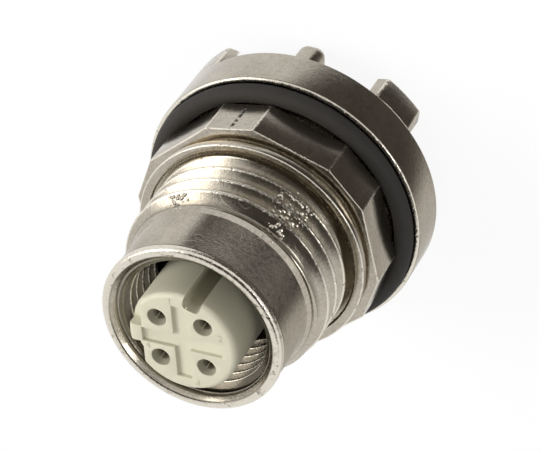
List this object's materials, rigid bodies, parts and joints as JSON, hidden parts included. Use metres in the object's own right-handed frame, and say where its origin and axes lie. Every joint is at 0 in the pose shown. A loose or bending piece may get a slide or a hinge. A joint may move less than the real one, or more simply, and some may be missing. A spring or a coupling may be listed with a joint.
{
  "type": "m12 connector",
  "caption": "Panel-mount round socket: threaded metal housing with hexagon, sealed flange and castellated rear around a keyed plastic contact face.",
  "frame": {"origin": "centre of the circle through the ends of the rear tabs, on the plane they stand on", "axes": "+Z along the connector's axis towards the mating face; the arms of the cross in the face lie along X and Y, and the face's flat with the rib is on the -X side"},
  "size_m": [0.0222, 0.0222, 0.0239],
  "materials": {
    "plated_casting": "satin nickel plating on die-cast metal",
    "seal_rubber": "moulded, slightly worn",
    "carrier_plastic": "fine matt moulding",
    "inner_seal_rubber": "moulded",
    "insulator_plastic": "fine matt moulding",
    "contact_plating": "thin plating on turned metal"
  },
  "bodies": {
    "root": {"housing": "plated_casting", "panel_seal": "seal_rubber", "contact_carrier": "carrier_plastic", "carrier_seal": "inner_seal_rubber", "rear_insulator": "insulator_plastic", "contact_1": "contact_plating", "contact_2": "contact_plating", "contact_3": "contact_plating", "contact_4": "contact_plating"}
  },
  "joints": []
}
